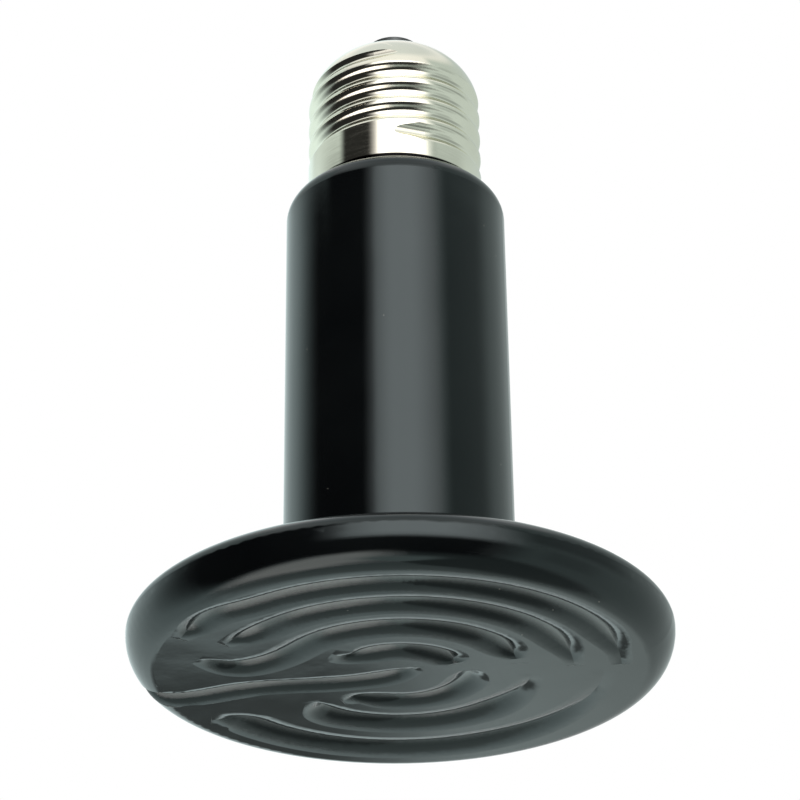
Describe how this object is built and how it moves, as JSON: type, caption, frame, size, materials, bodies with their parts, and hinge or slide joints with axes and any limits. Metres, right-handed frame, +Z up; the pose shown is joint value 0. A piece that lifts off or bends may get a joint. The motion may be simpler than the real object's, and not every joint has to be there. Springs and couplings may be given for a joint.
{
  "type": "ceramic heat emitter",
  "caption": "Black glazed ceramic heat emitter: a disc with a labyrinth of grooves, a hollow stem and a nickel screw cap with a centre contact.",
  "frame": {"origin": "middle of the disc's ridged face, on the plane that the face stands on", "axes": "+Z up the stem to the screw cap; the dividing groove of the ridged face comes in from the rim along -X; +Y to the half with three grooves"},
  "size_m": [0.0756, 0.0756, 0.105],
  "materials": {
    "black_glaze": "gloss",
    "nickel_plated_sheet": "polished",
    "contact_plate": "satin",
    "cap_glass": "gloss",
    "cement": "matte",
    "lead_wire": "satin",
    "sleeve_ceramic": "matte",
    "solder": "satin"
  },
  "bodies": {
    "root": {"ceramic_body": "black_glaze", "screw_shell": "nickel_plated_sheet", "centre_contact": "contact_plate", "cap_insulator": "cap_glass", "cap_cement": "cement", "contact_lead": "lead_wire", "shell_lead": "lead_wire", "contact_lead_sleeve": "sleeve_ceramic", "shell_lead_sleeve": "sleeve_ceramic", "contact_solder": "solder", "shell_solder": "solder"}
  },
  "joints": []
}
